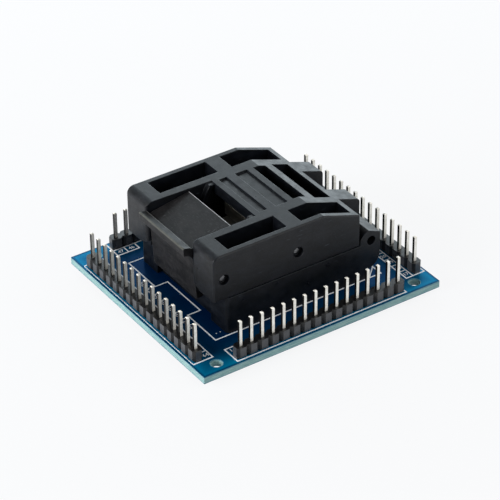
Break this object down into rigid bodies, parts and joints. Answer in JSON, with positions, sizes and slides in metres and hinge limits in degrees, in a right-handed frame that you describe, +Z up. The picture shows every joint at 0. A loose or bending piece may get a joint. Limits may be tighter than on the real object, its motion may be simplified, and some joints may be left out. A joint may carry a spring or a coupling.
{
  "type": "ic test socket",
  "caption": "Clamshell chip test socket with a hinged lid, pivoting latch and pressure pad, soldered to a blue adapter board with rows of upright header pins.",
  "frame": {"origin": "surface that the header pin tails stand on, under the middle of the board and of the chip seat", "axes": "+X from the latch at the front to the hinge at the rear, along the board's long edge; +Z up out of the pin side; +Y to the left, seen from the latch"},
  "size_m": [0.057, 0.05, 0.022],
  "materials": {
    "board": "blue solder mask on glass epoxy",
    "header_plastic": "black moulded nylon",
    "pin_metal": "tin-plated bronze",
    "socket_plastic": "dark charcoal moulded plastic, slightly satin",
    "contact_metal": "gold-plated beryllium copper",
    "pin_steel": "ground steel",
    "spring_steel": "spring wire"
  },
  "bodies": {
    "base": {"circuit_board": "board", "header_body_front": "header_plastic", "header_body_rear": "header_plastic", "header_body_left": "header_plastic", "header_body_right": "header_plastic", "header_pins_front": "pin_metal", "header_pins_rear": "pin_metal", "header_pins_left": "pin_metal", "header_pins_right": "pin_metal", "socket_base": "socket_plastic", "contacts_front": "contact_metal", "contacts_rear": "contact_metal", "contacts_left": "contact_metal", "contacts_right": "contact_metal", "hinge_pin": "pin_steel", "hinge_spring": "spring_steel"},
    "lid": {"lid": "socket_plastic", "pad_pin": "pin_steel", "latch_pin": "pin_steel", "latch_spring": "spring_steel"},
    "latch": {"latch": "socket_plastic"},
    "pad": {"pressure_pad": "socket_plastic"}
  },
  "joints": [
    {"name": "lid_hinge", "type": "hinge", "parent": "base", "child": "lid", "pos_m": [0.0179, 0, 0.0118], "axis": [0, 1, 0], "range_deg": [0, 95], "deforming": ["hinge_spring"]},
    {"name": "latch_pivot", "type": "hinge", "parent": "lid", "child": "latch", "pos_m": [-0.0175, 0, 0.0162], "axis": [0, 1, 0], "range_deg": [0, 14], "stiffness_Nm_per_rad": 0.02, "springref_deg": -8.59, "deforming": ["latch_spring"]},
    {"name": "pad_pivot", "type": "hinge", "parent": "lid", "child": "pad", "pos_m": [0, 0, 0.01585], "axis": [0, 1, 0], "range_deg": [-2, 2]}
  ]
}
